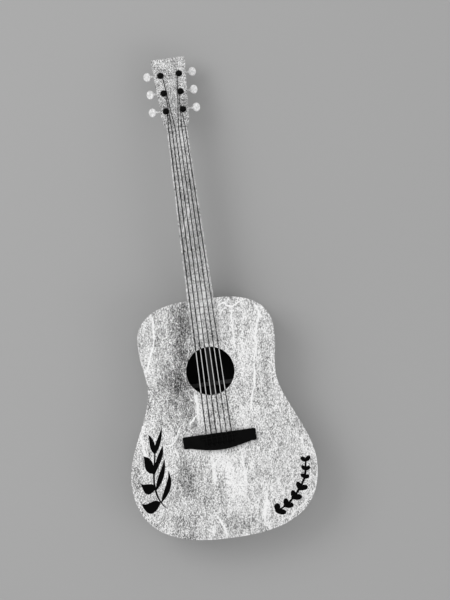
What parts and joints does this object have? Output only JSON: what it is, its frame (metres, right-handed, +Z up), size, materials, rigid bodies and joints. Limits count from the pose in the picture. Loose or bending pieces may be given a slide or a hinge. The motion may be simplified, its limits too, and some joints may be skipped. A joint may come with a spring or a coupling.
{
  "type": "acoustic guitar",
  "caption": "Flat-top steel-string acoustic guitar with a waisted hollow body, round soundhole, black bridge and open-geared machine heads, in a worn whitewash finish with leaf sprigs.",
  "frame": {"origin": "middle of the back's outer face, on the surface the guitar lies on", "axes": "+X towards the treble side, +Y towards the head, +Z up through the soundboard"},
  "size_m": [0.395, 1.0254, 0.1184],
  "materials": {
    "top_wood": "worn whitewash over spruce, crazed and dark in the grain",
    "body_wood": "worn whitewash over mahogany",
    "inner_wood": "mahogany and maple, stained near black, dull",
    "brace_wood": "spruce, stained near black, dull",
    "neck_wood": "worn whitewash over mahogany",
    "board_wood": "worn whitewash over rosewood",
    "black_wood": "black, satin",
    "black_plastic": "black",
    "nut_bone": "bone under the same worn whitewash",
    "fret_metal": "nickel silver, dull",
    "string_wire": "black coated, worn bright over the soundhole",
    "black_metal": "black",
    "tuner_metal": "tarnished nickel",
    "shaft_metal": "nickel, worn",
    "post_metal": "black",
    "button_plastic": "white, yellowed and scratched",
    "rod_steel": "mill finish",
    "bolt_metal": "zinc plated"
  },
  "bodies": {
    "guitar": {"soundboard": "top_wood", "back_plate": "body_wood", "bass_side": "body_wood", "treble_side": "body_wood", "neck_block": "inner_wood", "tail_block": "inner_wood", "top_linings": "inner_wood", "back_linings": "inner_wood", "x_brace_bass": "brace_wood", "x_brace_treble": "brace_wood", "bridge_plate": "inner_wood", "upper_brace": "brace_wood", "tone_bars": "brace_wood", "finger_braces": "brace_wood", "back_braces": "brace_wood", "back_strip": "brace_wood", "neck": "neck_wood", "neck_bolts": "bolt_metal", "truss_rod": "rod_steel", "fretboard": "board_wood", "frets": "fret_metal", "nut": "nut_bone", "heel_cap": "black_wood", "bridge": "black_wood", "saddle": "black_plastic", "bridge_pins": "black_plastic", "tuner_bushings": "black_metal", "tuner_screws": "tuner_metal", "string_1": "string_wire", "string_2": "string_wire", "string_3": "string_wire", "string_4": "string_wire", "string_5": "string_wire", "string_6": "string_wire", "tuner_plate_1": "tuner_metal", "tuner_plate_2": "tuner_metal", "tuner_plate_3": "tuner_metal", "tuner_plate_4": "tuner_metal", "tuner_plate_5": "tuner_metal", "tuner_plate_6": "tuner_metal"},
    "tuner_button_1": {"worm_shaft_1": "shaft_metal", "button_1": "button_plastic"},
    "tuner_post_1": {"post_gear_1": "post_metal"},
    "tuner_button_2": {"worm_shaft_2": "shaft_metal", "button_2": "button_plastic"},
    "tuner_post_2": {"post_gear_2": "post_metal"},
    "tuner_button_3": {"worm_shaft_3": "shaft_metal", "button_3": "button_plastic"},
    "tuner_post_3": {"post_gear_3": "post_metal"},
    "tuner_button_4": {"worm_shaft_4": "shaft_metal", "button_4": "button_plastic"},
    "tuner_post_4": {"post_gear_4": "post_metal"},
    "tuner_button_5": {"worm_shaft_5": "shaft_metal", "button_5": "button_plastic"},
    "tuner_post_5": {"post_gear_5": "post_metal"},
    "tuner_button_6": {"worm_shaft_6": "shaft_metal", "button_6": "button_plastic"},
    "tuner_post_6": {"post_gear_6": "post_metal"}
  },
  "joints": [
    {"name": "button_1_turn", "type": "hinge", "parent": "guitar", "child": "tuner_button_1", "pos_m": [0.0467, 0.66013, 0.07487], "axis": [1, 0, 0], "continuous": true},
    {"name": "post_1_turn", "type": "hinge", "parent": "guitar", "child": "tuner_post_1", "pos_m": [0.0183, 0.65827, 0.09532], "axis": [0, 0.2419, 0.9703], "continuous": true},
    {"name": "button_2_turn", "type": "hinge", "parent": "guitar", "child": "tuner_button_2", "pos_m": [0.0464, 0.69894, 0.06519], "axis": [1, 0, 0], "continuous": true},
    {"name": "post_2_turn", "type": "hinge", "parent": "guitar", "child": "tuner_post_2", "pos_m": [0.018, 0.69708, 0.08565], "axis": [0, 0.2419, 0.9703], "continuous": true},
    {"name": "button_3_turn", "type": "hinge", "parent": "guitar", "child": "tuner_button_3", "pos_m": [0.0482, 0.73776, 0.05551], "axis": [1, 0, 0], "continuous": true},
    {"name": "post_3_turn", "type": "hinge", "parent": "guitar", "child": "tuner_post_3", "pos_m": [0.0198, 0.73589, 0.07597], "axis": [0, 0.2419, 0.9703], "continuous": true},
    {"name": "button_4_turn", "type": "hinge", "parent": "guitar", "child": "tuner_button_4", "pos_m": [-0.0482, 0.73776, 0.05551], "axis": [1, 0, 0], "continuous": true},
    {"name": "post_4_turn", "type": "hinge", "parent": "guitar", "child": "tuner_post_4", "pos_m": [-0.0198, 0.73589, 0.07597], "axis": [0, 0.2419, 0.9703], "continuous": true},
    {"name": "button_5_turn", "type": "hinge", "parent": "guitar", "child": "tuner_button_5", "pos_m": [-0.0464, 0.69894, 0.06519], "axis": [1, 0, 0], "continuous": true},
    {"name": "post_5_turn", "type": "hinge", "parent": "guitar", "child": "tuner_post_5", "pos_m": [-0.018, 0.69708, 0.08565], "axis": [0, 0.2419, 0.9703], "continuous": true},
    {"name": "button_6_turn", "type": "hinge", "parent": "guitar", "child": "tuner_button_6", "pos_m": [-0.0467, 0.66013, 0.07487], "axis": [1, 0, 0], "continuous": true},
    {"name": "post_6_turn", "type": "hinge", "parent": "guitar", "child": "tuner_post_6", "pos_m": [-0.0183, 0.65827, 0.09532], "axis": [0, 0.2419, 0.9703], "continuous": true}
  ],
  "couplings": [
    {"joint": "post_1_turn", "follows": "button_1_turn", "ratio": 0.071429},
    {"joint": "post_2_turn", "follows": "button_2_turn", "ratio": 0.071429},
    {"joint": "post_3_turn", "follows": "button_3_turn", "ratio": 0.071429},
    {"joint": "post_4_turn", "follows": "button_4_turn", "ratio": -0.071429},
    {"joint": "post_5_turn", "follows": "button_5_turn", "ratio": -0.071429},
    {"joint": "post_6_turn", "follows": "button_6_turn", "ratio": -0.071429}
  ]
}
